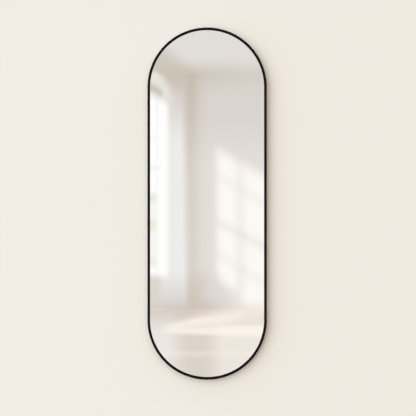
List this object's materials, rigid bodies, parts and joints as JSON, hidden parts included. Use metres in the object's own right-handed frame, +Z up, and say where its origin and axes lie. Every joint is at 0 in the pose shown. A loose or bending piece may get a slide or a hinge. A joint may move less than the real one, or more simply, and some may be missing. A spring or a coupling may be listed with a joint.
{
  "type": "oval wall mirror",
  "caption": "Tall pill-shaped wall mirror in a slim matte black metal frame, its backed glass held by turn-buttons, hung on interlocking Z-section rails.",
  "frame": {"origin": "midway between the wall rail's two outer screw holes, on the wall's surface", "axes": "+X to the right as the mirror is looked at, +Y into the wall, +Z up"},
  "size_m": [0.5588, 0.0278, 1.6508],
  "materials": {
    "black_coated_aluminium": "matte",
    "silvered_glass": "polished",
    "mill_aluminium": "satin",
    "zinc_steel": "satin",
    "hardboard": "matte",
    "foam_tape": "matte",
    "backing_film": "satin",
    "pad_rubber": "matte",
    "cushion_foam": "matte",
    "bumper_rubber": "matte"
  },
  "bodies": {
    "wall_rail": {"wall_rail": "mill_aluminium"},
    "mirror": {"frame_upper": "black_coated_aluminium", "frame_lower": "black_coated_aluminium", "splice_bar_left": "mill_aluminium", "splice_bar_right": "mill_aluminium", "splice_screws": "zinc_steel", "glazing_tape": "foam_tape", "mirror_glass": "silvered_glass", "safety_film": "backing_film", "edge_pads": "pad_rubber", "foam_sheet": "cushion_foam", "back_board": "hardboard", "turn_button_screws": "zinc_steel", "frame_cleat": "mill_aluminium", "frame_cleat_screws": "zinc_steel", "lower_tie_bar": "mill_aluminium", "tie_bar_screws": "zinc_steel", "bumper_left": "bumper_rubber", "bumper_right": "bumper_rubber"},
    "turn_button_01": {"turn_button_01": "zinc_steel"},
    "turn_button_02": {"turn_button_02": "zinc_steel"},
    "turn_button_03": {"turn_button_03": "zinc_steel"},
    "turn_button_04": {"turn_button_04": "zinc_steel"},
    "turn_button_05": {"turn_button_05": "zinc_steel"},
    "turn_button_06": {"turn_button_06": "zinc_steel"},
    "turn_button_07": {"turn_button_07": "zinc_steel"},
    "turn_button_08": {"turn_button_08": "zinc_steel"},
    "turn_button_09": {"turn_button_09": "zinc_steel"},
    "turn_button_10": {"turn_button_10": "zinc_steel"},
    "turn_button_11": {"turn_button_11": "zinc_steel"},
    "turn_button_12": {"turn_button_12": "zinc_steel"}
  },
  "joints": [
    {"name": "lift_off", "type": "slide", "parent": "wall_rail", "child": "mirror", "axis": [0, 0, 1], "range_m": [0, 0.014]},
    {"name": "turn_button_01_swing", "type": "hinge", "parent": "mirror", "child": "turn_button_01", "pos_m": [0.18406, -0.0128, 0.25006], "axis": [0, 1, 0], "range_deg": [-125, 125]},
    {"name": "turn_button_02_swing", "type": "hinge", "parent": "mirror", "child": "turn_button_02", "pos_m": [0.2603, -0.0128, -0.08], "axis": [0, 1, 0], "range_deg": [-125, 125]},
    {"name": "turn_button_03_swing", "type": "hinge", "parent": "mirror", "child": "turn_button_03", "pos_m": [0.2603, -0.0128, -0.3301], "axis": [0, 1, 0], "range_deg": [-125, 125]},
    {"name": "turn_button_04_swing", "type": "hinge", "parent": "mirror", "child": "turn_button_04", "pos_m": [0.2603, -0.0128, -0.6301], "axis": [0, 1, 0], "range_deg": [-125, 125]},
    {"name": "turn_button_05_swing", "type": "hinge", "parent": "mirror", "child": "turn_button_05", "pos_m": [0.2603, -0.0128, -0.8802], "axis": [0, 1, 0], "range_deg": [-125, 125]},
    {"name": "turn_button_06_swing", "type": "hinge", "parent": "mirror", "child": "turn_button_06", "pos_m": [0.18406, -0.0128, -1.21026], "axis": [0, 1, 0], "range_deg": [-125, 125]},
    {"name": "turn_button_07_swing", "type": "hinge", "parent": "mirror", "child": "turn_button_07", "pos_m": [-0.18406, -0.0128, -1.21026], "axis": [0, 1, 0], "range_deg": [-125, 125]},
    {"name": "turn_button_08_swing", "type": "hinge", "parent": "mirror", "child": "turn_button_08", "pos_m": [-0.2603, -0.0128, -0.8802], "axis": [0, 1, 0], "range_deg": [-125, 125]},
    {"name": "turn_button_09_swing", "type": "hinge", "parent": "mirror", "child": "turn_button_09", "pos_m": [-0.2603, -0.0128, -0.6301], "axis": [0, 1, 0], "range_deg": [-125, 125]},
    {"name": "turn_button_10_swing", "type": "hinge", "parent": "mirror", "child": "turn_button_10", "pos_m": [-0.2603, -0.0128, -0.3301], "axis": [0, 1, 0], "range_deg": [-125, 125]},
    {"name": "turn_button_11_swing", "type": "hinge", "parent": "mirror", "child": "turn_button_11", "pos_m": [-0.2603, -0.0128, -0.08], "axis": [0, 1, 0], "range_deg": [-125, 125]},
    {"name": "turn_button_12_swing", "type": "hinge", "parent": "mirror", "child": "turn_button_12", "pos_m": [-0.18406, -0.0128, 0.25006], "axis": [0, 1, 0], "range_deg": [-125, 125]}
  ]
}
